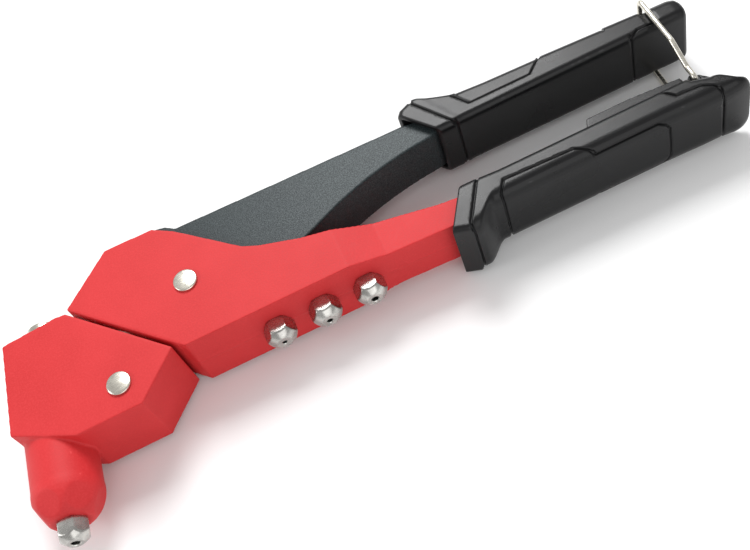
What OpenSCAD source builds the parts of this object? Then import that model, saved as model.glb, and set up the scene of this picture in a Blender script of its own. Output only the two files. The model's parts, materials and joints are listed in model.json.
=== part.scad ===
// Swivel-head hand riveter, lying on its side, handles latched shut.
// Frame: origin at the mouth of the fitted nosepiece, +X along the handles, +Z up.

/* [Body] */
// Thickness of the body and head castings
cast_w = 25.5; // [25:0.5:27]
// Clear width between the two cheeks of the body
slot_w = 20; // [19.6:0.1:20.5]
// Height of the bottom face below the lever pivot
body_drop = 24.8; // [24:0.2:26]
// Thickness of the handle arm of the body
arm_w = 19; // [18:0.5:19]
// Distance between two stored nosepieces
store_pitch = 17; // [15:0.5:17]

/* [Lever] */
// Thickness of the lever casting
lever_w = 19; // [18:0.5:19]
// Radius of the round nose of the lever about its pivot
nose_r = 11; // [10.5:0.1:11.5]
// Angle that the lever opens from the latched position
lever_travel = 34; // [20:1:34]
// Radius of the drive pin about the lever pivot
drive_r = 7.5; // [7.3:0.1:7.7]

/* [Head] */
// Lean of the nozzle axis from square to the body
nozzle_lean = 4.5; // [4:0.1:5]
// Outer radius of the nozzle barrel
barrel_r = 12; // [11.8:0.1:12.5]
// Gap between body and head, filled by the swivel washer
swivel_gap = 1.5; // [1:0.1:2]
// Radius of the swivel washer
washer_r = 10; // [9:0.5:11]
// Radius of the fork tips of the rocker
tip_r = 2.4; // [2.3:0.1:2.4]

/* [Nosepieces] */
// Width across the flats of a nosepiece
nose_flats = 10; // [9.5:0.1:10.5]
// Length of a nosepiece outside its seat
nose_len = 7.6; // [7:0.1:8]
// Radius of the nosepiece thread
thread_r = 4; // [3.5:0.1:4]
// Mandrel hole radius of the fitted nosepiece
mandrel_r = 1.5; // [1:0.05:1.6]

/* [Grips and latch] */
// Half width of the upper grip
upper_half = 12.9; // [12.5:0.1:12.9]
// Half width of the lower grip
lower_half = 14; // [13.5:0.1:14]
// Width and depth of the moulded panel grooves
groove = 0.9; // [0.6:0.1:1]
// Radius of the latch wire
wire_r = 1; // [0.8:0.1:1]

/* [Hidden] */
$fn = 64;
fit = 0.05;              // radial running clearance
pivot = [64, 67.3];      // lever pivot
swivel = [38, 61.3];     // swivel axis where it meets the front face of the body
swivel_turn = -45;       // direction of the swivel axis, measured from +Y
rocker_at = [31.7, 40.2];
head_half = 8.4;         // half width of the hollow in the head
cap_top = 84.8;          // end of the rear cap, measured along the nozzle axis
body_wall = 5.5;         // wall at the swivel
pin_head_r = 4.4;
pin_head_h = 1.35;
pivot_r = 3;
rocker_pin_r = 2.5;
plate_in = 4.6;          // rocker plates lie between these two distances from the middle
plate_out = 7;
groove_half = 2.5;       // half width of the two grooves that the fork tips ride in
spool_r = 6.5;
neck_r = 4.4;
coupler_r = 6.3;
bore_r = 6.6;
rod_r = 2;
drive_pin_r = 2;
store_x = 86.7;          // first stored nosepiece
store_y = pivot[1] - body_drop;
latch_at = [251.8, 53.3];
latch_top = 91.9;        // height of the latch wire's cross-piece

// Shape of the linkage, worked out from the pivots
swivel_dir = [cos(45), sin(45)];
swivel_side = [-sin(45), cos(45)];
rod_arm = (rocker_at - swivel) * swivel_side * -1;
rod_foot = (rocker_at - swivel) * swivel_dir;
yoke_foot = (pivot - swivel) * swivel_dir;
yoke_arm = -(pivot - swivel) * swivel_side;
rod_half_travel = drive_r * (lever_travel / 2) * PI / 180;
rocker_half = rod_half_travel / rod_arm * 180 / PI;
nozzle_dir = [sin(nozzle_lean), cos(nozzle_lean)];
nozzle_side = [cos(nozzle_lean), -sin(nozzle_lean)];
jaw_arm = rocker_at * nozzle_side;
jaw_foot = rocker_at * nozzle_dir;
jaw_half_travel = jaw_arm * rocker_half * PI / 180;
jaw_at = jaw_foot + jaw_half_travel;   // groove of the jaw coupler, handles shut

// Points of a shallow curve from p to q that rises by "rise" to its left
function bowed(p, q, rise, steps = 8) = [
    for (i = [0:steps]) let (t = i / steps, d = q - p, n = [-d[1], d[0]] / norm(d))
        p + d * t + n * rise * 4 * t * (1 - t)];
// Points of an arc about c
function arc(c, r, from, to, steps = 12) = [
    for (i = [0:steps]) let (a = from + (to - from) * i / steps) c + r * [cos(a), sin(a)]];

module at_pivot() { translate([pivot[0], pivot[1], 0]) children(); }
// Local +Z runs up the nozzle axis
module on_nozzle() { rotate([0, 0, -nozzle_lean]) rotate([-90, 0, 0]) children(); }
// Local +Z runs along the swivel axis into the body, local Y is -Z
module on_swivel() {
    translate([swivel[0], swivel[1], 0]) rotate([0, 0, swivel_turn]) rotate([-90, 0, 0]) children();
}
// Local +Z runs out of the bottom face of the body
module on_store(i) {
    translate([store_x + i * store_pitch, store_y, 0]) rotate([90, 0, 0]) children();
}
module slab(points, half) { translate([0, 0, -half]) linear_extrude(2 * half) polygon(points); }
module plan(points) { rotate([-90, 0, 0]) translate([0, 0, -200]) linear_extrude(400) polygon(points); }
module ring(r_out, r_in, from, to) {
    difference() {
        translate([0, 0, from]) cylinder(r = r_out, h = to - from);
        translate([0, 0, from - 1]) cylinder(r = r_in, h = to - from + 2);
    }
}
module groove_line(p, q, depth_from, depth_to) {
    d = q - p;
    translate([p[0], p[1], depth_from]) rotate([0, 0, atan2(d[1], d[0])])
        translate([-groove / 2, -groove / 2, 0]) cube([norm(d) + groove, groove, depth_to - depth_from]);
}

// ---------------------------------------------------------------- body
body_outline = concat(
    [[-43.4, 11.4], [-24.4, 28.7], [-5.8, 28.3], [1.7, 23.1], [22.4, 3.5]],
    [[27.7, 0.7], [42.4, -4.4], [59.2, -8.2], [67, -9.8], [77.4, -11.9], [90, -14.6]],
    [[99, -15.6], [103, -16.8], [180, -17], [180, -23.8], [103, -24.2], [91, -25.9]],
    [[63.5, -body_drop], [-32 + body_drop, -body_drop]]);
wall_line = -32 + (body_wall - 0.02) * sqrt(2);   // x + y along the inside of the swivel wall
body_hollow = [[-19, 45], [-19.5, 28], [-22.4, 26.5], [-37.3, wall_line + 37.3],
               [wall_line + 21.5, -21.5], [12, -21.5],
               [15, -13], [59, -13], [63, -8], [63, 45]];
module arm_core() {
    at_pivot() slab([for (i = [9:16]) body_outline[i]], arm_w / 2);
}
module body() {
    color("firebrick") difference() {
        at_pivot() intersection() {
            slab(body_outline, cast_w / 2);
            plan([[-60, -cast_w / 2], [53, -cast_w / 2], [67, -arm_w / 2], [190, -arm_w / 2],
                  [190, arm_w / 2], [67, arm_w / 2], [53, cast_w / 2], [-60, cast_w / 2]]);
        }
        at_pivot() slab(body_hollow, slot_w / 2);
        at_pivot() translate([0, 0, -20]) cylinder(r = pivot_r, h = 40);
        on_swivel() translate([0, 0, -1]) cylinder(r = 5.5, h = body_wall + 3);
        for (i = [0:2]) on_store(i) translate([0, 0, -10]) cylinder(r = thread_r, h = 11);
    }
}

// ---------------------------------------------------------------- lower grip
lower_outline = [[98.8, -13.6], [89, -30.6], [91, -31.8], [102.6, -32.2], [106.8, -29.4],
                 [111, -27.2], [125, -26.4], [171, -26.4], [191, -27], [199.5, -27], [203.5, -24.4],
                 [203.5, -18.8], [199.5, -15.8], [184, -15.6], [184, -14.4], [103, -14.4]];
module lower_panel_lines(z0, z1) {
    groove_line([112.4, -27], [112.8, -20.4], z0, z1);
    groove_line([112.8, -20.4], [138, -21.3], z0, z1);
    groove_line([138, -21.3], [143, -27], z0, z1);
    groove_line([170.5, -30], [170.8, -23.5], z0, z1);
    groove_line([170.8, -23.5], [187.5, -19.6], z0, z1);
    groove_line([187.5, -19.6], [190, -22], z0, z1);
    groove_line([190, -22], [191, -30], z0, z1);
}
module lower_grip() {
    color("dimgray") difference() {
        at_pivot() union() {
            intersection() {
                slab(lower_outline, lower_half);
                plan([[80, -lower_half], [191, -lower_half], [197, 1.7 - lower_half],
                      [200.8, 4.6 - lower_half], [203.5, 8.6 - lower_half],
                      [203.5, lower_half - 8.6], [200.8, lower_half - 4.6],
                      [197, lower_half - 1.7], [191, lower_half], [80, lower_half]]);
            }
            slab([[146, -15], [148.5, -10.2], [165, -10.2], [181.5, -11.8], [183, -16]], 11);
            slab([[183.6, -16], [184.4, -13.2], [186.6, -11.2], [188.4, -11.2], [194, -16]], 8.6);
        }
        arm_core();
        at_pivot() {
            lower_panel_lines(lower_half - groove, lower_half + 1);
            lower_panel_lines(-lower_half - 1, groove - lower_half);
            for (x = [112.2, 171, 191.2])
                translate([x, -26.6, -20]) cube([groove, 1.7, 40]);
            for (s = [-1, 1])
                translate([183.6, -16.8, s * 10.3 - 1.6]) cube([8.6, 5, 3.2]);
        }
        translate([latch_at[0], latch_at[1], -20]) cylinder(r = wire_r + fit, h = 40);
    }
}

// ---------------------------------------------------------------- lever
lever_outline = concat(
    [[-8, 27.5], [-5, 30.3], [-1.5, 29.4], [2, 26.7], [92, 23.9], [101, 22], [185, 21.8], [185, 14.8]],
    [[103, 14.8]], bowed([99.8, 13.6], [47.5, -1.2], -2.8), [[36, -6], [24, -8.8]],
    arc([0, 0], nose_r, -80, -180));
module lever() {
    color("slategray") at_pivot() difference() {
        slab(lever_outline, lever_w / 2);
        slab([[-14, 32], [-14, -14], [13, -14], [14.5, 14], [14.5, 32]], 4.2);
        slab([[14, 32], [14, 12], [38, 10], [76, 17.5], [86, 19.5], [86, 32]], 6.2);
        translate([0, 0, -20]) cylinder(r = pivot_r + fit, h = 40);
        rotate([0, 0, 135 - lever_travel / 2]) translate([drive_r, 0, -20])
            cylinder(r = drive_pin_r, h = 40);
    }
}
module drive_pin() {
    color("silver") at_pivot() rotate([0, 0, 135 - lever_travel / 2])
        translate([drive_r, 0, -lever_w / 2]) cylinder(r = drive_pin_r, h = lever_w);
}

// ---------------------------------------------------------------- upper grip
upper_outline = [[102.7, 12.3], [93.2, 26.8], [94.4, 28.9], [99.2, 31.2], [101.4, 30.8], [106.6, 28.2],
                 [112.5, 26.6], [127.5, 25.6], [171, 23.4], [172, 23.7], [185.8, 22.9], [186, 22.2],
                 [189.9, 22.2], [190.4, 24.4], [194.5, 24], [198.6, 21.4], [200, 18.4], [200, 13.2],
                 [199, 12.3]];
module upper_panel_lines(z0, z1) {
    groove_line([98, 29.6], [109.2, 11.6], z0, z1);
    groove_line([112, 25.6], [116.7, 17.6], z0, z1);
    groove_line([116.7, 17.4], [140.6, 17.4], z0, z1);
    groove_line([140.3, 17.6], [147, 25.4], z0, z1);
    groove_line([175.5, 11], [180.5, 14.6], z0, z1);
    groove_line([180.5, 14.6], [187, 14.6], z0, z1);
}
module tang_core() {
    at_pivot() slab([[92, 23.9], [101, 22], [185, 21.8], [185, 14.8], [103, 14.8], [92, 12.7]], lever_w / 2);
}
module upper_grip() {
    color("dimgray") difference() {
        at_pivot() slab(upper_outline, upper_half);
        tang_core();
        at_pivot() {
            upper_panel_lines(upper_half - groove, upper_half + 1);
            upper_panel_lines(-upper_half - 1, groove - upper_half);
        }
    }
}

// ---------------------------------------------------------------- pivot pins
module headed_pin(r) {
    translate([0, 0, -cast_w / 2]) cylinder(r = r, h = cast_w);
    for (s = [0, 1]) mirror([0, 0, s]) translate([0, 0, cast_w / 2]) {
        cylinder(r = pin_head_r, h = pin_head_h - 0.5);
        translate([0, 0, pin_head_h - 0.5]) cylinder(r1 = pin_head_r, r2 = pin_head_r - 0.7, h = 0.5);
    }
}
module lever_pivot_pin() { color("silver") at_pivot() headed_pin(pivot_r); }
module rocker_pin() {
    color("silver") translate([rocker_at[0], rocker_at[1], 0]) headed_pin(rocker_pin_r);
}

// ---------------------------------------------------------------- swivel and pull rod
module swivel_bush() {
    color("silver") on_swivel() {
        ring(5.5, rod_r + 0.3, -swivel_gap - body_wall, body_wall + 4.5);
        ring(8, rod_r + 0.3, -swivel_gap - body_wall - 2.05, -swivel_gap - body_wall - fit);
    }
}
module swivel_nut() {
    color("gray") on_swivel() difference() {
        translate([0, 0, body_wall]) cylinder(d = 16, h = 4.5, $fn = 6);
        translate([0, 0, body_wall - 1]) cylinder(r = 5.5, h = 7);
    }
}
module swivel_washer() {
    color("silver") on_swivel() ring(washer_r, 5.5, -swivel_gap + fit, 0);
}
module pull_rod() {
    rod_end = yoke_foot + rod_half_travel;      // yoke, handles shut
    spool_at = rod_foot + rod_half_travel;
    color("gray") on_swivel() {
        translate([0, 0, spool_at]) {
            translate([0, 0, -groove_half - 2]) cylinder(r = spool_r, h = 2);
            translate([0, 0, -groove_half]) cylinder(r = neck_r, h = 2 * groove_half);
            translate([0, 0, groove_half]) cylinder(r = spool_r, h = 2);
        }
        translate([0, 0, spool_at]) cylinder(r = rod_r, h = rod_end - spool_at);
        difference() {
            translate([-4.5, -3.8, rod_end - 5.2]) cube([yoke_arm + 4.5 - 5.2, 7.6, 10.4]);
            translate([4.6, -5, rod_end - drive_pin_r - 0.12])
                cube([yoke_arm, 10, 2 * drive_pin_r + 0.24]);
        }
    }
}

// ---------------------------------------------------------------- head
head_outline = [[-69, 9], [-48.4, 10.5], [-44.4, 10.2], [-11.6, -22.6], [-26.6, -37.9], [-50.6, -38.3],
                [-72.6, -27.3]];
head_hollow = [[-65.8, 4.2], [-48.1, 6.2], [-17.8, -24.1], [-28.2, -34.5], [-55.5, -34.3],
               [-58.5, -30.4], [-68.8, -25.4]];
// Flats cut around the nose end of the barrel
module barrel_flats() {
    for (i = [0:5]) rotate([0, 0, 60 * i + 12]) translate([barrel_r + 0.6, 0, 17.2])
        rotate([0, 29, 0]) translate([0, -15, -25]) cube([20, 30, 25]);
}
module head() {
    color("firebrick") difference() {
        union() {
            intersection() {
                at_pivot() slab(head_outline, cast_w / 2);
                on_swivel() translate([-80, -80, -150 - swivel_gap]) cube([160, 160, 150]);
            }
            on_nozzle() difference() {
                rotate_extrude() polygon(concat(
                    [[0, nose_len], [6.6, nose_len]], bowed([7.2, nose_len + 0.3], [barrel_r, 20], -1.9, 8),
                    [[barrel_r, 50], [0, 50]]));
                barrel_flats();
            }
        }
        at_pivot() slab(head_hollow, head_half);
        on_swivel() translate([0, 0, -20]) cylinder(r = 5.5 + fit, h = 30);
        translate([rocker_at[0], rocker_at[1], -20]) cylinder(r = rocker_pin_r, h = 40);
        on_nozzle() {
            translate([0, 0, 0]) cylinder(r = thread_r, h = 20);
            translate([0, 0, 17]) cylinder(r = bore_r, h = 30);
            translate([-bore_r - 0.2, -7.4, 31]) cube([2 * bore_r + 0.4, 14.8, 20]);
            translate([0, 0, 60]) cylinder(r = spool_r, h = 30);
        }
    }
}

// ---------------------------------------------------------------- rocker
// Fork arm in the plane of the plate, from the hub to a round tip at distance d
module fork_arm(d) {
    union() {
        translate([d, 0]) circle(r = tip_r);
        translate([d - 8, -1.35]) square([8, 2.7]);
    }
}
module rocker_plate() {
    knee = [cos(225), sin(225)] * 8 + [cos(135), sin(135)] * 4;
    jaw_angle = 180 - nozzle_lean;
    jaw_tip = jaw_arm * [cos(jaw_angle), sin(jaw_angle)];
    wrist = jaw_tip - 6.5 * [cos(jaw_angle), sin(jaw_angle)];
    linear_extrude(plate_out - plate_in) difference() {
        union() {
            circle(r = 5.4);
            rotate(135) fork_arm(rod_arm);
            polygon([knee + [1.6, -1.5], knee + [-1.1, 1.4], [-2.2, 3.8], [3.5, -4.1]]);
            translate(knee) circle(r = 2.2);
            polygon([knee + [0.3, -2.2], wrist + [0.3, -2], wrist + [0, 1.8], knee + [-0.4, 2.2]]);
            translate(wrist) circle(r = 1.9);
            rotate(jaw_angle) fork_arm(jaw_arm);
        }
        circle(r = rocker_pin_r + fit);
    }
}
module rocker() {
    color("darkgray") translate([rocker_at[0], rocker_at[1], 0]) rotate([0, 0, -rocker_half]) {
        for (s = [0, 1]) mirror([0, 0, s]) translate([0, 0, plate_in]) rocker_plate();
        ring(3.8, rocker_pin_r + fit, -plate_in, plate_in);
    }
}

// ---------------------------------------------------------------- jaw train
module jaw_coupler() {
    color("silver") on_nozzle() translate([0, 0, jaw_at]) {
        ring(coupler_r, 3.3, -6, -groove_half);
        ring(neck_r, 2.2, -groove_half, groove_half);
        ring(coupler_r, 2.2, groove_half, 5);
        ring(4.6, 3.3, -10.5, -6);
    }
}
module jaw_case() {
    color("gray") on_nozzle() translate([0, 0, jaw_at]) rotate_extrude() polygon([
        [2.6, -19], [4.9, -19], [coupler_r, -17], [coupler_r, -6], [4.6, -6], [4.6, -12.5], [2.6, -18.4]]);
}
module jaws() {
    color("dimgray") on_nozzle() translate([0, 0, jaw_at]) difference() {
        rotate_extrude() polygon([[1.1, -17.6], [2.7, -17.6], [4.4, -12.6], [1.1, -12.6]]);
        for (i = [0:2]) rotate([0, 0, 120 * i]) translate([0, -0.3, -20]) cube([8, 0.6, 10]);
    }
}
module jaw_pusher() {
    color("silver") on_nozzle() translate([0, 0, jaw_at]) {
        ring(4.4, 1.6, -12.5, -11);
        ring(3.1, 1.6, -11, -7.5);
    }
}
module pusher_spring() {
    color("silver") on_nozzle() translate([0, 0, jaw_at]) ring(3.2, 2.3, -7.45, -2.55);
}
module return_spring() {
    color("silver") on_nozzle() ring(6, 4.6, jaw_at + 5.05, 72.45);
}
module rear_cap() {
    color("silver") on_nozzle() difference() {
        union() {
            translate([0, 0, 72.5]) cylinder(r = spool_r, h = cap_top - 73.3);
            translate([0, 0, cap_top - 0.8]) cylinder(r1 = spool_r, r2 = spool_r - 0.8, h = 0.8);
        }
        translate([0, 0, 70]) cylinder(r = 2.2, h = 20);
    }
}

// ---------------------------------------------------------------- nosepieces
// Mouth at the origin, thread running up local +Z
module nosepiece(hole_r) {
    difference() {
        union() {
            intersection() {
                cylinder(d = nose_flats / cos(30), h = nose_len, $fn = 6);
                rotate_extrude() polygon(concat(
                    [[0, 0], [2.6, 0]], bowed([2.6, 0], [5.9, 3.6], -0.7, 5), [[5.9, nose_len], [0, nose_len]]));
            }
            translate([0, 0, nose_len]) cylinder(r = thread_r, h = 16 - nose_len);
        }
        translate([0, 0, -1]) cylinder(r = hole_r, h = 18);
    }
}
module stored(i, hole_r) {
    on_store(i) translate([0, 0, nose_len]) rotate([180, 0, 0]) nosepiece(hole_r);
}
module nosepiece_fitted() { color("silver") on_nozzle() nosepiece(mandrel_r); }
module nosepiece_small() { color("silver") stored(0, 0.85); }
module nosepiece_medium() { color("silver") stored(1, 1.05); }
module nosepiece_large() { color("silver") stored(2, 1.3); }

// ---------------------------------------------------------------- latch wire
// A straight run of wire between two points given as [height, side]
module wire_run(p, q) {
    d = q - p;
    translate([0, p[0], p[1]]) rotate([atan2(-d[0], d[1]), 0, 0]) cylinder(r = wire_r, h = norm(d), $fn = 24);
    translate([0, q[0], q[1]]) sphere(r = wire_r + 0.06, $fn = 24);
}
module latch_wire() {
    eye = latch_at[1];
    leg = [[eye, 6], [eye, 10.2], [eye + 5.5, 10.2], [69.5, 14.2], [latch_top - 1, 14.2],
           [latch_top, 13.2]];
    color("gainsboro") translate([latch_at[0], 0, 0]) {
        for (s = [0, 1]) mirror([0, 0, s])
            for (i = [0:len(leg) - 2]) wire_run(leg[i], leg[i + 1]);
        translate([0, latch_top, -13.2]) cylinder(r = wire_r, h = 26.4, $fn = 24);
    }
}

body();
lower_grip();
lever();
upper_grip();
lever_pivot_pin();
drive_pin();
pull_rod();
swivel_bush();
swivel_nut();
swivel_washer();
head();
rocker();
rocker_pin();
jaw_coupler();
jaw_case();
jaws();
jaw_pusher();
pusher_spring();
return_spring();
rear_cap();
nosepiece_fitted();
nosepiece_small();
nosepiece_medium();
nosepiece_large();
latch_wire();
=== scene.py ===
"""Swivel-head hand riveter: its finished surfaces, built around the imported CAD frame."""
import json
import math

import bmesh
import bpy
import numpy as np
from mathutils import Matrix, Vector


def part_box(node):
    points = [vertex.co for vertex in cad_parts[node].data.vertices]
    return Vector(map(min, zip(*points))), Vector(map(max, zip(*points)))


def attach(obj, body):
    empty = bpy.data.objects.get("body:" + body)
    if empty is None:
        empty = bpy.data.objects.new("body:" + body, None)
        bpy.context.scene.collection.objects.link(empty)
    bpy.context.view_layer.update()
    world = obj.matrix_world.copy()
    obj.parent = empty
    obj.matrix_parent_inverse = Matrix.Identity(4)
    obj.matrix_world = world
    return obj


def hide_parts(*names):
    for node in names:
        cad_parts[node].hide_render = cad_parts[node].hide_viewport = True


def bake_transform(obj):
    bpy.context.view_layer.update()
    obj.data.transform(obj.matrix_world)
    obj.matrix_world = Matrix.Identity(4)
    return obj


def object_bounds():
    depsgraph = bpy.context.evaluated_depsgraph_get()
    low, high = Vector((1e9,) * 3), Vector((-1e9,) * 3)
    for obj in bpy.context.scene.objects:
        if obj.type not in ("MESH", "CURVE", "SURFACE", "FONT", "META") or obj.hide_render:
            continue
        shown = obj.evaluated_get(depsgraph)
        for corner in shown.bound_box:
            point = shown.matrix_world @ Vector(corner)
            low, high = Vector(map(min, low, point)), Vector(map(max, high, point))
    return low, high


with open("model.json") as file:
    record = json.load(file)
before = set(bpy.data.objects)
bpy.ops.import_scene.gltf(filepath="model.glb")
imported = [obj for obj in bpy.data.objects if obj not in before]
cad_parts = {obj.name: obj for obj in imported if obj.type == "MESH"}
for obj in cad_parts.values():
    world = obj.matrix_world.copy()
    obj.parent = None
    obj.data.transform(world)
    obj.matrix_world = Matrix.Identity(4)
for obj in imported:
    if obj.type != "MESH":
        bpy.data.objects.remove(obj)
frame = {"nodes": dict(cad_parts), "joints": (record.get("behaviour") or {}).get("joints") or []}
CAD_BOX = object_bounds()

MM = 0.001
CASTING_HALF = 12.75     # half thickness of the body and the head, millimetres
JOINT = {joint["name"]: joint for joint in frame["joints"]}
PIVOT = Vector(JOINT["lever_hinge"]["pos_m"])
NOZZLE = Vector(JOINT["jaw_slide"]["axis"]).normalized()
SWIVEL = Vector(JOINT["head_swivel"]["axis"]).normalized()
SWIVEL_AT = Vector(JOINT["head_swivel"]["pos_m"])
LATCH_AT = Vector(JOINT["latch_hinge"]["pos_m"])
HEAD_PIN_AT = Vector(JOINT["rocker_hinge"]["pos_m"])


# ------------------------------------------------------------------ mesh tools
def make_object(name, points, faces):
    """A mesh object from points in metres."""
    mesh = bpy.data.meshes.new(name)
    mesh.from_pydata([tuple(p) for p in points], [], faces)
    obj = bpy.data.objects.new(name, mesh)
    bpy.context.scene.collection.objects.link(obj)
    return obj


def clean(obj, merge=1e-6):
    """Joins doubled points and turns every face outwards."""
    work = bmesh.new()
    work.from_mesh(obj.data)
    bmesh.ops.remove_doubles(work, verts=work.verts, dist=merge)
    bmesh.ops.recalc_face_normals(work, faces=work.faces)
    work.to_mesh(obj.data)
    work.free()
    return obj


def settle(obj):
    """Replaces the mesh with the result of its modifiers."""
    graph = bpy.context.evaluated_depsgraph_get()
    mesh = bpy.data.meshes.new_from_object(obj.evaluated_get(graph))
    obj.modifiers.clear()
    old = obj.data
    obj.data = mesh
    bpy.data.meshes.remove(old)
    mesh.name = obj.name
    return obj


def copy_of(node, name):
    """A new object with the shape of a CAD node."""
    obj = bpy.data.objects.new(name, frame["nodes"][node].data.copy())
    obj.data.materials.clear()
    bpy.context.scene.collection.objects.link(obj)
    return clean(obj)


def cut(obj, cutter):
    """Takes the cutter's shape away from obj."""
    step = obj.modifiers.new("cut", "BOOLEAN")
    step.operation = "DIFFERENCE"
    step.solver = "EXACT"
    step.object = cutter
    settle(obj)
    bpy.data.objects.remove(cutter)
    return obj


def join(obj, others):
    """Adds the others' faces to obj, for fuse() to make one skin of."""
    work = bmesh.new()
    work.from_mesh(obj.data)
    for other in others:
        work.from_mesh(other.data)
        bpy.data.objects.remove(other)
    work.to_mesh(obj.data)
    work.free()
    return obj


def fuse(obj, voxel):
    """Rebuilds overlapping shells as one skin of small even faces."""
    step = obj.modifiers.new("fuse", "REMESH")
    step.mode = "VOXEL"
    step.voxel_size = voxel * MM
    return settle(obj)


def soften(obj, voxel, passes):
    """Rebuilds the surface and rounds its edges, as moulding or casting does."""
    fuse(obj, voxel)
    step = obj.modifiers.new("round", "SMOOTH")
    step.factor = 0.5
    step.iterations = passes
    return settle(obj)


def thin_out(obj, share):
    """Keeps a share of the faces, most of them where the surface curves."""
    step = obj.modifiers.new("thin", "DECIMATE")
    step.ratio = share
    return settle(obj)


def smooth_shade(obj, sharp_deg=None):
    """Shades smoothly, and keeps edges sharper than an angle."""
    obj.data.polygons.foreach_set("use_smooth", [True] * len(obj.data.polygons))
    if sharp_deg is not None:
        obj.data.set_sharp_from_angle(angle=math.radians(sharp_deg))
    return obj


def surface_arrays(obj):
    """Points and normals as arrays, points in millimetres from the lever pivot."""
    count = len(obj.data.vertices)
    points = np.zeros(count * 3, np.float32)
    normals = np.zeros(count * 3, np.float32)
    obj.data.vertices.foreach_get("co", points)
    obj.data.vertex_normals.foreach_get("vector", normals)
    points = (points.reshape(-1, 3) - np.array(PIVOT)) / MM
    return points, normals.reshape(-1, 3)


def store_points(obj, points):
    """Writes back points given in millimetres from the lever pivot."""
    metres = points * MM + np.array(PIVOT)
    obj.data.vertices.foreach_set("co", metres.astype(np.float32).ravel())
    obj.data.update()


def line_distance(a, b, line):
    """Distance of the points (a, b) from an open line of 2-D points."""
    best = np.full(len(a), 1e9)
    for (p, q), (r, s) in zip(line[:-1], line[1:]):
        along = np.array([r - p, s - q])
        t = ((a - p) * along[0] + (b - q) * along[1]) / (along @ along)
        t = np.clip(t, 0, 1)
        best = np.minimum(best, np.hypot(a - p - t * along[0], b - q - t * along[1]))
    return best


def ease(t):
    """0 to 1 with soft ends."""
    t = np.clip(t, 0, 1)
    return t * t * (3 - 2 * t)


def inside_depth(a, b, loop):
    """Distance inside a closed outline, negative outside."""
    closed = list(loop) + [loop[0]]
    inside = np.zeros(len(a), bool)
    for (p, q), (r, s) in zip(closed[:-1], closed[1:]):
        crosses = (q > b) != (s > b)
        at = p + (b - q) * (r - p) / ((s - q) if s != q else 1e-9)
        inside ^= crosses & (a < at)
    distance = line_distance(a, b, closed)
    return np.where(inside, distance, -distance)


def prism(name, outline, half):
    """An outline in the tool's plane, in millimetres from the pivot, extruded to both sides."""
    count = len(outline)
    points = [PIVOT + Vector((x, y, z)) * MM for z in (-half, half) for x, y in outline]
    faces = [list(range(count))[::-1], list(range(count, 2 * count))]
    faces += [[i, (i + 1) % count, count + (i + 1) % count, count + i] for i in range(count)]
    return clean(make_object(name, points, faces))


def upright_to(axis):
    """The turn that takes +Z to an axis."""
    return Vector((0, 0, 1)).rotation_difference(Vector(axis)).to_matrix()


def round_point(at, turn, radius, angle, height):
    """A point in metres, given in millimetres round a turned axis that starts at a point."""
    return at + turn @ Vector((radius * math.cos(angle), radius * math.sin(angle), height)) * MM


def skin(rows, size, closed=False):
    """Faces between rows of points. Each row is a ring; closed joins the last row to the first."""
    faces = []
    for row in range(rows if closed else rows - 1):
        here, there = row * size, (row + 1) % rows * size
        for i in range(size):
            k = (i + 1) % size
            faces.append([here + i, here + k, there + k, there + i])
    return faces


def turned(name, profile, at, axis, closed=False):
    """A body of revolution. The profile is (radius, height) in millimetres, along axis from at."""
    segments = 96
    turn = upright_to(axis)
    points = []
    for radius, height in profile:
        for i in range(segments):
            points.append(round_point(at, turn, radius, 2 * math.pi * i / segments, height))
    return clean(make_object(name, points, skin(len(profile), segments, closed)), 1e-7)


def span_along(node):
    """Lowest and highest place of a CAD node along the nozzle, in millimetres from the origin."""
    places = [v.co.dot(NOZZLE) / MM for v in frame["nodes"][node].data.vertices]
    return min(places), max(places)


def corner(centre, radius, from_deg, to_deg, steps=5):
    """Points of a round corner of a profile."""
    angles = [math.radians(from_deg + (to_deg - from_deg) * i / steps) for i in range(steps + 1)]
    return [(centre[0] + radius * math.cos(a), centre[1] + radius * math.sin(a)) for a in angles]


def tube(name, path, radius, sides=20):
    """A round wire along a path of points in metres. The radius is in millimetres."""
    points = []
    before = None
    for i, p in enumerate(path):
        ahead = path[min(i + 1, len(path) - 1)] - path[max(i - 1, 0)]
        ahead.normalize()
        if before is None:
            side = ahead.orthogonal().normalized()
        else:
            side = (before - ahead * before.dot(ahead)).normalized()
        before = side
        other = ahead.cross(side)
        for k in range(sides):
            a = 2 * math.pi * k / sides
            points.append(p + (side * math.cos(a) + other * math.sin(a)) * radius * MM)
    faces = skin(len(path), sides)
    faces.append(list(range(sides))[::-1])
    faces.append([(len(path) - 1) * sides + k for k in range(sides)])
    return smooth_shade(clean(make_object(name, points, faces), 1e-8), 50)


def bent_path(corners, bend, steps=8):
    """A path through corner points, each inner corner rounded to the bend radius in millimetres."""
    leg_share = 0.49     # the most of a straight that a bend may use up
    path = [corners[0]]
    for before, at, after in zip(corners[:-2], corners[1:-1], corners[2:]):
        back, on = (before - at).normalized(), (after - at).normalized()
        half = back.angle(on) / 2
        shorter = min((before - at).length, (after - at).length)
        reach = min(bend * MM / math.tan(half), shorter * leg_share)
        start, end = at + back * reach, at + on * reach
        for i in range(steps + 1):
            t = i / steps
            path.append(start * (1 - t) ** 2 + at * 2 * t * (1 - t) + end * t * t)
    path.append(corners[-1])
    return path


def coil(name, axis, radius, wire, low, high, turns):
    """A compression spring along an axis through the origin, with closed ends."""
    turn = upright_to(axis)
    steps_per_turn, closed_turns = 28, 0.75
    steps = int(turns * steps_per_turn)
    flat = closed_turns / turns
    path = []
    for i in range(steps + 1):
        t = i / steps
        rise = (t - flat) / (1 - 2 * flat)
        height = low + wire + (high - low - 2 * wire) * float(np.clip(rise, 0, 1))
        path.append(round_point(Vector(), turn, radius, 2 * math.pi * turns * t, height))
    return tube(name, path, wire, 12)


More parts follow.
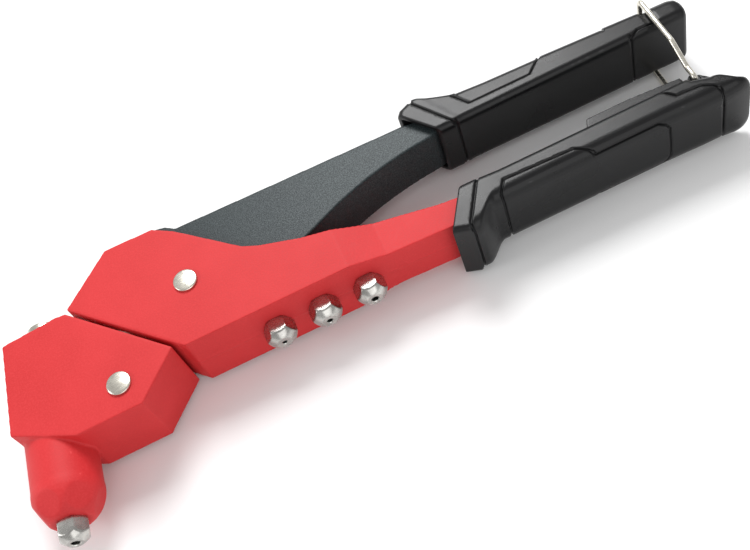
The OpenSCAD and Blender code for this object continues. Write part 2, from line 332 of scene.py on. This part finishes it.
# ------------------------------------------------------------------ materials
def new_material(name):
    """A material, its node tree and its shader."""
    mat = bpy.data.materials.new(name)
    mat.use_nodes = True
    tree = mat.node_tree
    return mat, tree, tree.nodes["Principled BSDF"]


def add(tree, kind, inputs=None, **settings):
    """Adds a node, sets its properties, and fills or links its inputs."""
    node = tree.nodes.new(kind)
    for key, value in settings.items():
        setattr(node, key, value)
    for key, value in (inputs or {}).items():
        if isinstance(value, bpy.types.NodeSocket):
            tree.links.new(value, node.inputs[key])
        else:
            node.inputs[key].default_value = value
    return node


def object_noise(tree, scale, detail=4.0, roughness=0.55):
    """Noise fixed to the object; scale is in cycles per metre."""
    where = add(tree, "ShaderNodeTexCoord")
    return add(tree, "ShaderNodeTexNoise", {"Vector": where.outputs["Object"], "Scale": scale,
                                            "Detail": detail, "Roughness": roughness})


def ramp(tree, value, stops):
    """A colour ramp; stops are (place, grey or colour)."""
    node = add(tree, "ShaderNodeValToRGB", {"Fac": value})
    while len(node.color_ramp.elements) < len(stops):
        node.color_ramp.elements.new(0.5)
    for element, (place, shade) in zip(node.color_ramp.elements, stops):
        element.position = place
        element.color = (shade, shade, shade, 1) if isinstance(shade, float) else (*shade, 1)
    return node.outputs["Color"]


def blend_colours(tree, factor, first, second):
    """Mixes two colours or colour sockets."""
    node = add(tree, "ShaderNodeMix", data_type="RGBA")
    tree.links.new(factor, node.inputs[0])
    for socket, value in ((node.inputs[6], first), (node.inputs[7], second)):
        if isinstance(value, bpy.types.NodeSocket):
            tree.links.new(value, socket)
        else:
            socket.default_value = (*value, 1)
    return node.outputs[2]


def bump(tree, height, distance, strength, under=None):
    """Turns height into normals, over another bump if given."""
    inputs = {"Height": height, "Distance": distance, "Strength": strength}
    if under is not None:
        inputs["Normal"] = under
    return add(tree, "ShaderNodeBump", inputs).outputs["Normal"]


def connect(tree, shader, colour, gloss, normal):
    """Gives the shader its colour, roughness and surface grain."""
    tree.links.new(colour, shader.inputs["Base Color"])
    tree.links.new(gloss, shader.inputs["Roughness"])
    tree.links.new(normal, shader.inputs["Normal"])


def worn_and_lit_edges(tree, low, high):
    """White on raised edges, black elsewhere: a mask for edge wear that also paints an edge highlight."""
    return ramp(tree, add(tree, "ShaderNodeNewGeometry").outputs["Pointiness"], [(low, 0.0), (high, 1.0)])


def red_powder_coat():
    """Red paint with a fine grain on a soft orange peel, paler on raised edges, partly as wear and partly
    as a painted edge highlight.
    """
    mat, tree, shader = new_material("red_powder_coat")
    grain = object_noise(tree, 1500, 3)
    orange_peel = object_noise(tree, 420, 2)
    drift = object_noise(tree, 45, 3)
    base = blend_colours(tree, ramp(tree, drift.outputs["Fac"], [(0.3, 0.0), (0.7, 1.0)]),
                         (0.52, 0.018, 0.020), (0.58, 0.024, 0.027))
    base = blend_colours(tree, ramp(tree, grain.outputs["Fac"], [(0.42, 0.0), (0.68, 0.4)]),
                         base, (0.65, 0.045, 0.048))
    # raised edges paler: wear, and a painted edge highlight
    base = blend_colours(tree, worn_and_lit_edges(tree, 0.58, 0.70), base, (0.72, 0.07, 0.07))
    gloss = ramp(tree, grain.outputs["Fac"], [(0.3, 0.52), (0.75, 0.66)])
    peel = bump(tree, orange_peel.outputs["Fac"], 0.00012, 0.25)
    connect(tree, shader, base, gloss, bump(tree, grain.outputs["Fac"], 0.00009, 0.5, peel))
    shader.inputs["Specular IOR Level"].default_value = 0.3
    return mat


def hammered_grey():
    """Dark speckled enamel with small dents, paler on raised edges, partly as wear and partly as a painted
    edge highlight.
    """
    mat, tree, shader = new_material("hammered_grey")
    grain = object_noise(tree, 2300, 2.5, 0.6)
    dimples = object_noise(tree, 900, 2)
    speck = ramp(tree, grain.outputs["Fac"], [(0.40, 0.0), (0.66, 1.0)])
    base = blend_colours(tree, speck, (0.014, 0.020, 0.022), (0.042, 0.054, 0.057))
    # raised edges paler: wear, and a painted edge highlight
    base = blend_colours(tree, worn_and_lit_edges(tree, 0.56, 0.66), base, (0.10, 0.115, 0.12))
    gloss = ramp(tree, grain.outputs["Fac"], [(0.3, 0.46), (0.7, 0.34)])
    dents = bump(tree, dimples.outputs["Fac"], 0.0001, 0.3)
    connect(tree, shader, base, gloss, bump(tree, grain.outputs["Fac"], 0.00007, 0.5, dents))
    shader.inputs["Metallic"].default_value = 0.1
    shader.inputs["Specular IOR Level"].default_value = 0.2
    return mat


def grip_plastic():
    """Black satin plastic with a fine moulded grain, paler on raised edges, partly as wear and partly as a
    painted edge highlight.
    """
    mat, tree, shader = new_material("grip_plastic")
    grain = object_noise(tree, 2600, 3)
    flow = object_noise(tree, 60, 3)
    base = blend_colours(tree, ramp(tree, flow.outputs["Fac"], [(0.3, 0.0), (0.7, 1.0)]),
                         (0.0055, 0.0055, 0.006), (0.0085, 0.0085, 0.009))
    # raised edges paler: wear, and a painted edge highlight
    base = blend_colours(tree, worn_and_lit_edges(tree, 0.52, 0.62), base, (0.022, 0.022, 0.023))
    gloss = ramp(tree, flow.outputs["Fac"], [(0.3, 0.26), (0.7, 0.33)])
    connect(tree, shader, base, gloss, bump(tree, grain.outputs["Fac"], 0.00007, 0.6))
    shader.inputs["Specular IOR Level"].default_value = 0.26
    return mat


def plated_steel(name, light, dark, rough, scratch=0.25):
    """Plated metal with faint polishing marks."""
    mat, tree, shader = new_material(name)
    where = add(tree, "ShaderNodeTexCoord")
    stretch = add(tree, "ShaderNodeMapping",
                  {"Vector": where.outputs["Object"], "Scale": (700, 5200, 2600)})
    marks = add(tree, "ShaderNodeTexNoise",
                {"Vector": stretch.outputs["Vector"], "Scale": 1.0, "Detail": 4.0})
    cloud = object_noise(tree, 260, 3)
    base = blend_colours(tree, ramp(tree, cloud.outputs["Fac"], [(0.35, 0.0), (0.65, 1.0)]), dark, light)
    gloss = ramp(tree, marks.outputs["Fac"], [(0.3, rough * 0.75), (0.7, rough * 1.35)])
    connect(tree, shader, base, gloss, bump(tree, marks.outputs["Fac"], 0.00002, scratch))
    shader.inputs["Metallic"].default_value = 1.0
    return mat


def floor_paint():
    """White with a slight mottle."""
    mat, tree, shader = new_material("studio_floor")
    mottle = object_noise(tree, 12, 3)
    base = blend_colours(tree, mottle.outputs["Fac"], (0.90, 0.90, 0.90), (0.93, 0.93, 0.93))
    tree.links.new(base, shader.inputs["Base Color"])
    shader.inputs["Roughness"].default_value = 0.7
    shader.inputs["Specular IOR Level"].default_value = 0.1
    return mat


RED = red_powder_coat()
GREY = hammered_grey()
BLACK = grip_plastic()
ZINC = plated_steel("bright_zinc", (0.78, 0.75, 0.66), (0.60, 0.57, 0.50), 0.27)
NICKEL = plated_steel("nickel_plate", (0.56, 0.55, 0.52), (0.40, 0.39, 0.37), 0.24)
STEEL = plated_steel("oiled_steel", (0.42, 0.42, 0.42), (0.30, 0.30, 0.30), 0.32, 0.5)
JAW_STEEL = plated_steel("hardened_steel", (0.16, 0.16, 0.17), (0.10, 0.10, 0.11), 0.38, 0.5)


def finish_piece(obj, material, body, slot, *nodes):
    """Gives a piece its material and its body, and hides the CAD nodes it stands for. The slot is not
    used.
    """
    obj.data.materials.clear()
    obj.data.materials.append(material)
    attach(obj, body)
    if nodes:
        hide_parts(*nodes)
    return obj


# ------------------------------------------------------------------ castings
CAST_VOXEL = 0.42        # millimetres


def body_casting():
    """Red body: rounded edges, and a bottom that crowns slightly to a parting line."""
    obj = soften(copy_of("body", "body_casting"), CAST_VOXEL, 4)
    points, normals = surface_arrays(obj)
    behind_nose, bottom_from = -12, -22.5
    draft_slope, seam_proud, seam_half = 0.028, 0.16, 0.75
    under = (ease((-normals[:, 1] - 0.5) / 0.4) * (points[:, 0] > behind_nose)
             * (points[:, 1] < bottom_from))
    draft = draft_slope * np.abs(points[:, 2]) * under
    seam = seam_proud * (1 - ease(np.abs(points[:, 2]) / seam_half)) * under
    points[:, 1] += draft - seam
    store_points(obj, points)
    return smooth_shade(thin_out(obj, 0.45))


def head_casting():
    """Red head with its barrel; a soft fillet joins the two."""
    obj = soften(copy_of("head", "head_casting"), CAST_VOXEL, 4)
    return smooth_shade(thin_out(obj, 0.5))


def lever_casting():
    """Grey lever, an open channel with softened edges."""
    obj = soften(copy_of("lever", "lever_casting"), CAST_VOXEL, 3)
    return smooth_shade(thin_out(obj, 0.45))


# ------------------------------------------------------------------ grips
GRIP_VOXEL = 0.27        # millimetres
ARM_HALF = 9.52          # half width of the hollow that takes the arm or the lever
GRIP_PASSES = 5          # smoothing passes
GRIP_SHARE = 0.42        # share of the even faces that a grip keeps


def section(inner, outer, half, outer_round, inner_round, steps=6):
    """Points (y, z) of a section between the inner and outer faces. Each rounding is its reach
    along y and along z."""
    side = 1 if outer > inner else -1
    ring = []
    for y, z_side, (ry, rz), to_flank in ((outer, 1, outer_round, False), (outer, -1, outer_round, True),
                                          (inner, -1, inner_round, False), (inner, 1, inner_round, True)):
        towards = side if y == outer else -side
        for i in range(steps + 1):
            a = math.pi / 2 * (i / steps if to_flank else 1 - i / steps)
            ring.append((y - towards * ry * (1 - math.cos(a)), z_side * (half - rz * (1 - math.sin(a)))))
    return ring


def loft(name, stations, inner_round):
    """A skin through sections. A station is (x at inner face, x at outer face, inner y, outer y,
    half width, rounding of the outer corners), and may end with its own rounding of the inner ones."""
    points = []
    for x_in, x_out, inner, outer, half, rounding, *own in stations:
        ring = section(inner, outer, half, rounding, own[0] if own else inner_round)
        size = len(ring)
        for y, z in ring:
            share = (y - inner) / (outer - inner)
            points.append(PIVOT + Vector((x_in + (x_out - x_in) * share, y, z)) * MM)
    faces = skin(len(stations), size)
    faces.append(list(range(size)))
    faces.append([(len(stations) - 1) * size + i for i in range(size)][::-1])
    return clean(make_object(name, points, faces))


def carve(obj, side_lines, face_lines, outward, width=0.62, depth=0.95):
    """Sinks grooves: side lines are (x, y) on the two flanks, face lines (x, z) on outer or inner faces.
    outward is +1 or -1, the way the outer face looks along Y."""
    points, normals = surface_arrays(obj)
    sink = np.zeros(len(points))
    flank = ease((np.abs(normals[:, 2]) - 0.12) / 0.2)
    for line in side_lines:
        d = line_distance(points[:, 0], points[:, 1], line)
        sink = np.maximum(sink, flank * (1 - ease(d / width)))
    for facing, line in face_lines:
        face = ease((normals[:, 1] * outward * facing - 0.3) / 0.25)
        d = line_distance(points[:, 0], np.abs(points[:, 2]), line)
        sink = np.maximum(sink, face * (1 - ease(d / width)))
    store_points(obj, points - normals * (sink * depth)[:, None])
    return obj


def recess(obj, outline, depth, edge=0.5):
    """Lowers the flanks inside an outline given in (x, y)."""
    points, normals = surface_arrays(obj)
    flank = ease((np.abs(normals[:, 2]) - 0.1) / 0.25)
    inside = ease(inside_depth(points[:, 0], points[:, 1], outline) / edge + 0.5)
    store_points(obj, points - normals * (flank * inside * depth)[:, None])
    return obj


def upper_grip_stations(inner):
    """Sections of the upper sleeve: flared collar, straight grip, the wire's seat and a raised cap."""
    collar, blend_round, main, cap = (2.2, 2.4), (3.0, 3.8), (3.6, 5.0), (5.6, 7.4)
    return [
        (102.6, 92.6, inner + 0.1, 26.0, 12.5, collar), (103.2, 92.0, inner - 0.4, 26.9, 12.9, collar),
        (104.4, 93.4, inner - 0.4, 28.9, 12.9, collar), (109.2, 98.9, inner - 0.3, 31.4, 12.9, collar),
        (110.6, 100.6, inner - 0.2, 31.2, 12.9, collar), (112.4, 103.4, inner, 30.1, 12.75, blend_round),
        (114.6, 107.2, inner, 28.4, 12.7, blend_round), (117.5, 112.2, inner, 26.9, 12.7, main),
        (126.0, 125.0, inner, 25.8, 12.8, main), (150.0, 150.0, inner, 24.7, 12.9, main),
        (171.0, 171.0, inner, 23.5, 12.9, main), (171.5, 171.5, inner, 24.0, 12.9, main),
        (185.0, 185.0, inner, 23.2, 12.9, main), (185.6, 185.6, inner, 22.2, 12.7, main),
        (189.6, 189.6, inner, 22.2, 12.7, main), (190.2, 190.2, inner, 23.9, 12.9, cap),
        (196.4, 196.4, inner, 23.7, 12.9, cap), (198.6, 198.6, inner, 23.1, 12.7, cap),
        (199.6, 199.6, inner + 0.5, 22.2, 12.1, cap), (200.0, 200.0, inner + 1.1, 21.2, 11.4, (4.6, 6.4))]


def upper_grip_sleeve():
    """Black sleeve on the lever, with a long panel sunk into each flank."""
    obj = loft("upper_grip_sleeve", upper_grip_stations(12.3), (2.4, 3.0))
    cut(obj, prism("pocket", [(90, 25.4), (97.2, 25.4), (105.4, 13.5), (98, 13.5)], 10.9))
    core = [(92, 23.95), (101, 22.05), (185, 21.0), (185, 14.8), (103, 14.8), (92, 12.7)]
    cut(obj, prism("core", core, ARM_HALF))
    soften(obj, GRIP_VOXEL, GRIP_PASSES)
    panel_area = [(117.2, 18.0), (140.3, 17.8), (145.6, 22.6), (146, 27), (114, 27), (114.4, 22.6)]
    recess(obj, panel_area, 0.35)
    collar_line = [(97.6, 32.5), (98.4, 28.9), (109.4, 11.6)]
    panel = [(112.2, 24.6), (116.7, 17.6), (140.5, 17.4), (146.6, 23.0), (148, 27)]
    crease = [(176.6, 11.4), (178.4, 12.8), (181.4, 14.3), (189.0, 14.1)]
    rear = [(171.3, 27), (171.3, 20.5)]
    carve(obj, [collar_line, panel, crease, rear],
          [(1, [(98.6, 0), (98.6, 14)]), (-1, [(109.6, 0), (109.6, 14)]),
           (-1, [(178, 0), (178, 14)])], 1)
    return smooth_shade(thin_out(obj, GRIP_SHARE))


def lower_grip_stations(inner):
    """Sections of the lower sleeve: flared collar, straight grip and a wedge with round corners."""
    half = 14.0
    collar, flange, main = (1.7, 1.9), (4.2, 5.2), (4.4, 6.2)
    stations = [
        (98.9, 89.8, inner + 0.3, -29.6, 13.6, collar), (99.3, 89.2, inner + 0.75, -30.4, half, collar),
        (104.6, 94.8, inner + 0.75, -32.4, half, collar), (105.8, 96.4, inner + 0.6, -32.8, half, flange)]
    flare_steps = 12
    for i in range(1, flare_steps + 1):
        t = i / flare_steps
        rounding = (flange[0] + 0.2 * t, flange[1] + t)
        stations.append((106.4 + 7.6 * t, 97.6 + 8.8 * t, inner + 0.5 * (1 - t),
                         -32.9 + 6.45 * ease(t), half, rounding))
    stations += [
        (128.0, 127.0, inner, -26.4, half, main), (171.0, 171.0, inner, -26.4, half, main),
        (183.8, 183.8, inner, -26.8, half, main), (184.2, 184.2, inner - 1.15, -26.8, half, main)]
    end, tip, corner_r, rows = 190.6, 201.8, 5.4, 12
    for i in range(rows):
        t = math.sin(math.pi / 2 * i / (rows - 1))
        x = end + (tip - end) * t
        turn_in = max(0.0, (x - tip) / corner_r + 1)
        stations.append((x, x, inner - 3.1 - 4.7 * ease((t - 0.15) / 0.6), -26.8 + 0.9 * t ** 4,
                         half - corner_r * (1 - (1 - turn_in ** 2) ** 0.5), (4.4 - 3.2 * t, 6.2 - 1.6 * t),
                         (2.8 - 1.1 * t, 3.2 + 3.6 * t)))
    return stations


def lower_grip_sleeve():
    """Black sleeve on the body's arm, with a rib, and a hump between the slots for the wire."""
    obj = loft("lower_grip_sleeve", lower_grip_stations(-14.45), (2.6, 3.0))
    rib = [(146.2, -15.2), (148.4, -10.3), (165, -10.3), (183.2, -11.6), (183.8, -15.8)]
    hump = [(185.0, -17.5), (185.4, -12.4), (187.0, -10.7), (188.6, -10.7), (194.6, -17.6)]
    join(obj, [prism("rib", rib, 10.9), prism("hump", hump, 9.0)])
    fuse(obj, GRIP_VOXEL)
    cut(obj, prism("pocket", [(86, -28.2), (92.6, -28.2), (101.0, -14.9), (95, -14.9)], 11.2))
    core = [(90, -14.6), (99, -15.55), (103, -16.75), (180, -16.95), (180, -23.85), (103, -24.25),
            (91, -25.95)]
    cut(obj, prism("core", core, ARM_HALF))
    slot_outline = [(185.7, -17.2), (189.9, -17.2), (189.9, -10), (185.7, -10)]
    slot_place, slot_half = 10.3, 1.75
    for side in (-1, 1):
        slot = prism("slot", slot_outline, slot_half)
        slot.location.z = side * slot_place * MM
        bpy.context.view_layer.update()
        cut(obj, slot)
    soften(obj, GRIP_VOXEL, GRIP_PASSES)
    collar_line = [(106.0, -12), (105.4, -14.6), (96.4, -30), (95.6, -33)]
    panel = [(109.7, -30), (109.7, -25.0), (112.8, -20.3), (138.3, -21.4), (142.8, -24.3), (143.6, -25.4)]
    rear = [(173.6, -15.5), (177.4, -20.0), (180.0, -20.0), (186.2, -20.6), (189.4, -22.6),
            (191.2, -25.2), (191.2, -30)]
    under_crease = [(143.8, 12.4), (144.3, 11.1), (167.5, 11.3), (169.8, 9.8), (171.2, 7.4), (171.4, 0)]
    carve(obj, [collar_line, panel, rear],
          [(1, [(96.2, 0), (96.2, 14)]), (1, [(109.7, 0), (109.7, 12.2)]), (1, under_crease),
           (1, [(191.2, 0), (191.2, 14)])], -1)
    return smooth_shade(thin_out(obj, GRIP_SHARE))


# ------------------------------------------------------------------ bright parts
def rivet(name, at, radius):
    """A shouldered rivet through a casting, with a crowned and chamfered head at each end."""
    rim, proud, bevel, crown, crown_steps = 4.4, 1.35, 0.55, 0.3, 8
    seat, top = CASTING_HALF, CASTING_HALF + proud
    upper = [(radius, seat - 0.1), (rim - 0.1, seat - 0.1), (rim, seat + 0.05)]
    upper += corner((rim - bevel, top - bevel), bevel, 0, 60, 4)
    upper = [(r, z - crown) for r, z in upper]
    flat = rim - bevel * 1.4
    for i in range(crown_steps):
        t = i / crown_steps
        upper.append((flat * (1 - t), top - crown + crown * (1 - (1 - t) ** 2)))
    upper.append((0.0001, top))
    lower = [(r, -z) for r, z in reversed(upper)]
    return smooth_shade(turned(name, lower + upper, at, (0, 0, 1)), 35)


def washer_ring():
    """Bright ring in the slanted gap between body and head."""
    bore, rim, thick, below = 5.55, 9.7, 1.4, 1.45
    edge_at, edge_in, edge_r = 9.6, 0.4, 0.35
    profile = [(bore, 0.05), (rim, 0.05)] + corner((edge_at, edge_in), edge_r, -60, 0, 3)
    profile += corner((edge_at, thick - edge_in), edge_r, 0, 60, 3) + [(rim, thick), (bore, thick)]
    seat = SWIVEL_AT - SWIVEL * below * MM
    return smooth_shade(turned("swivel_ring", profile, seat, SWIVEL, closed=True), 30)


def rear_plug():
    """Screwed cap behind the nozzle, with the hole that spent mandrels leave by."""
    foot, top = span_along("rear_cap")
    radius, hole = 6.45, 2.25
    groove = [(4.4, 0), (4.2, 0.35), (3.2, 0.35), (3.0, 0)]     # radius, depth
    profile = [(hole, foot), (radius, foot), (radius, top - 1.4)]
    profile += corner((radius - 0.75, top - 0.8), 0.75, 0, 90, 6)
    profile += [(r, top - depth) for r, depth in groove]
    profile += corner((hole + 0.5, top - 0.5), 0.5, 90, 180, 4)
    return smooth_shade(turned("rear_plug", profile, Vector(), NOZZLE, closed=True), 30)


def soft_least(a, b, sharpness):
    """The smaller of two lengths, with a rounded change from one to the other."""
    return -math.log(math.exp(-a * sharpness) + math.exp(-b * sharpness)) / sharpness


def nosepiece(name, mouth, axis, hole, turn_deg):
    """Hexagonal nosepiece with a domed mouth. axis points from the mouth to the thread."""
    flats, lip, dome_high, length, full_length = 5.0, 0.12, 3.7, 7.6, 16.0
    mouth_r, trim_r, thread_r, chamfer, chamfer_slope, bevel = 2.75, 5.95, 4.0, 0.9, 0.75, 0.25
    segments, dome_rows, straight_rows, sharpness = 144, 12, 6, 7
    heights = [0, lip] + [lip + (dome_high - lip) * i / dome_rows for i in range(1, dome_rows + 1)]
    heights += [dome_high + (length - chamfer - dome_high) * i / straight_rows
                for i in range(1, straight_rows + 1)]
    heights += [length - chamfer / 2, length]
    angles = [2 * math.pi * i / segments for i in range(segments)]
    rings = []
    for height in heights:
        trim = trim_r
        if height < dome_high:
            trim = mouth_r + (trim_r - mouth_r) * math.sin(height / dome_high * math.pi / 2) ** 0.9
        if height > length - chamfer:
            trim = trim_r - (height - length + chamfer) * chamfer_slope
        ring = []
        for a in angles:
            off = (a + math.radians(turn_deg)) % (math.pi / 3) - math.pi / 6
            ring.append(soft_least(flats / math.cos(off), trim, sharpness))
        rings.append((height, ring))
    for height, radius in ((length, thread_r), (full_length, thread_r), (full_length, hole),
                           (bevel, hole), (0, hole + bevel)):
        rings.append((height, [radius] * segments))
    turn = upright_to(axis)
    points = [round_point(mouth, turn, radius, a, height)
              for height, ring in rings for radius, a in zip(ring, angles)]
    obj = make_object(name, points, skin(len(rings), segments, True))
    return smooth_shade(clean(obj, 1e-7), 26)


def latch_bail():
    """The sprung wire that hooks over the upper grip."""
    wire, bend = 1.0, 2.2
    tip_z, eye_z, grip_z, eye_rise, wide_from = 6.05, 10.2, 14.2, 5.5, 69.5
    eye = LATCH_AT.y / MM
    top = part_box("latch_wire")[1].y / MM - wire
    leg = [(eye, tip_z), (eye, eye_z), (eye + eye_rise, eye_z), (wide_from, grip_z), (top, grip_z)]
    near = [Vector((LATCH_AT.x, y * MM, z * MM)) for y, z in leg]
    far = [Vector((p.x, p.y, -p.z)) for p in reversed(near)]
    return tube("latch_bail", bent_path(near + far, bend), wire)


def spring(node, name, wire, turns):
    """A coil spring inside the plain sleeve that stands for it in the CAD frame, and its two ends."""
    low, high = span_along(node)
    middle = NOZZLE * (low + high) / 2 * MM
    reach = max((v.co - middle - NOZZLE * (v.co - middle).dot(NOZZLE)).length
                for v in frame["nodes"][node].data.vertices) / MM
    return coil(name, NOZZLE, reach - wire, wire, low, high, turns), low, high


# ------------------------------------------------------------------ assembly
finish_piece(body_casting(), RED, "frame", "red_paint", "body")
finish_piece(head_casting(), RED, "head", "red_paint", "head")
finish_piece(lever_casting(), GREY, "lever", "hammered_grey", "lever")
finish_piece(upper_grip_sleeve(), BLACK, "lever", "grip_plastic", "upper_grip")
finish_piece(lower_grip_sleeve(), BLACK, "frame", "grip_plastic", "lower_grip")
finish_piece(rivet("lever_rivet", PIVOT, 3.0), ZINC, "frame", "bright_steel", "lever_pivot_pin")
finish_piece(rivet("head_rivet", HEAD_PIN_AT, 2.5), ZINC, "head", "bright_steel", "rocker_pin")
finish_piece(washer_ring(), ZINC, "frame", "bright_steel", "swivel_washer")
finish_piece(rear_plug(), ZINC, "head", "bright_steel", "rear_cap")
finish_piece(latch_bail(), ZINC, "latch", "bright_steel", "latch_wire")
finish_piece(nosepiece("fitted_tip", Vector(), NOZZLE, 1.5, 12), NICKEL, "head", "plated_nosepiece",
             "nosepiece_fitted")
for node, hole in (("nosepiece_small", 0.85), ("nosepiece_medium", 1.05), ("nosepiece_large", 1.3)):
    low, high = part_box(node)
    mouth = Vector(((low.x + high.x) / 2, low.y, 0))
    tip = nosepiece(node.replace("nosepiece", "spare"), mouth, (0, 1, 0), hole, 0)
    finish_piece(tip, NICKEL, "frame", "plated_nosepiece", node)

pusher, _, _ = spring("pusher_spring", "pusher_coil", 0.42, 5)
finish_piece(pusher, STEEL, "jaw_train", "inner_steel", "pusher_spring")
returner, coupler_end, cap_end = spring("return_spring", "return_coil", 0.65, 9)
returner.data.materials.append(STEEL)
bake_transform(returner)
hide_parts("return_spring")

INNER = ("drive_pin", "pull_rod", "swivel_bush", "swivel_nut", "rocker", "jaw_coupler", "jaw_case",
         "jaw_pusher", "jaws")
for node in INNER:
    frame["nodes"][node].data.materials.clear()
    frame["nodes"][node].data.materials.append(JAW_STEEL if node == "jaws" else STEEL)


# ------------------------------------------------------------------ studio
LIGHTS = (("key", (0.12, 0.64, 0.78), 0.46, 9.2),
          ("fill", (0.1, -0.9, 0.5), 0.9, 3.5),
          ("rim", (-0.8, 0.1, 0.4), 0.4, 2.2))     # place from the tool's middle, size in metres, watts


def studio():
    """White floor under the tool, even white surroundings and three area lights."""
    low, high = CAD_BOX
    reach = 3.0
    corners = [(-reach, -reach), (reach, -reach), (reach, reach), (-reach, reach)]
    floor = make_object("studio_floor", [(x, y, low[2]) for x, y in corners], [[0, 1, 2, 3]])
    floor.data.materials.append(floor_paint())
    world = bpy.data.worlds.new("studio")
    bpy.context.scene.world = world
    world.use_nodes = True
    world.node_tree.nodes["Background"].inputs["Color"].default_value = (1, 1, 1, 1)
    world.node_tree.nodes["Background"].inputs["Strength"].default_value = 0.55
    centre = Vector([(a + b) / 2 for a, b in zip(low, high)])
    for name, offset, size, power in LIGHTS:
        light = bpy.data.lights.new(name, "AREA")
        light.size = size
        light.energy = power
        lamp = bpy.data.objects.new(name, light)
        lamp.location = centre + Vector(offset)
        lamp.rotation_euler = (centre - lamp.location).to_track_quat("-Z", "Y").to_euler()
        bpy.context.scene.collection.objects.link(lamp)


def camera():
    """Looks down at the tool lying on its side, rolled so that the handles rise to the right."""
    away = Vector((60.1, -236.6, 312.75)) * MM     # from the lever pivot
    tilt, roll = math.radians(34.29), math.radians(-25.6)
    data = bpy.data.cameras.new("camera")
    data.lens = 52.8
    data.sensor_width = 36
    obj = bpy.data.objects.new("camera", data)
    obj.matrix_world = (Matrix.Translation(PIVOT + away) @ Matrix.Rotation(tilt, 4, "X")
                        @ Matrix.Rotation(roll, 4, "Z"))
    bpy.context.scene.collection.objects.link(obj)
    bpy.context.scene.camera = obj


studio()
camera()
bpy.context.scene.view_settings.view_transform = "Standard"
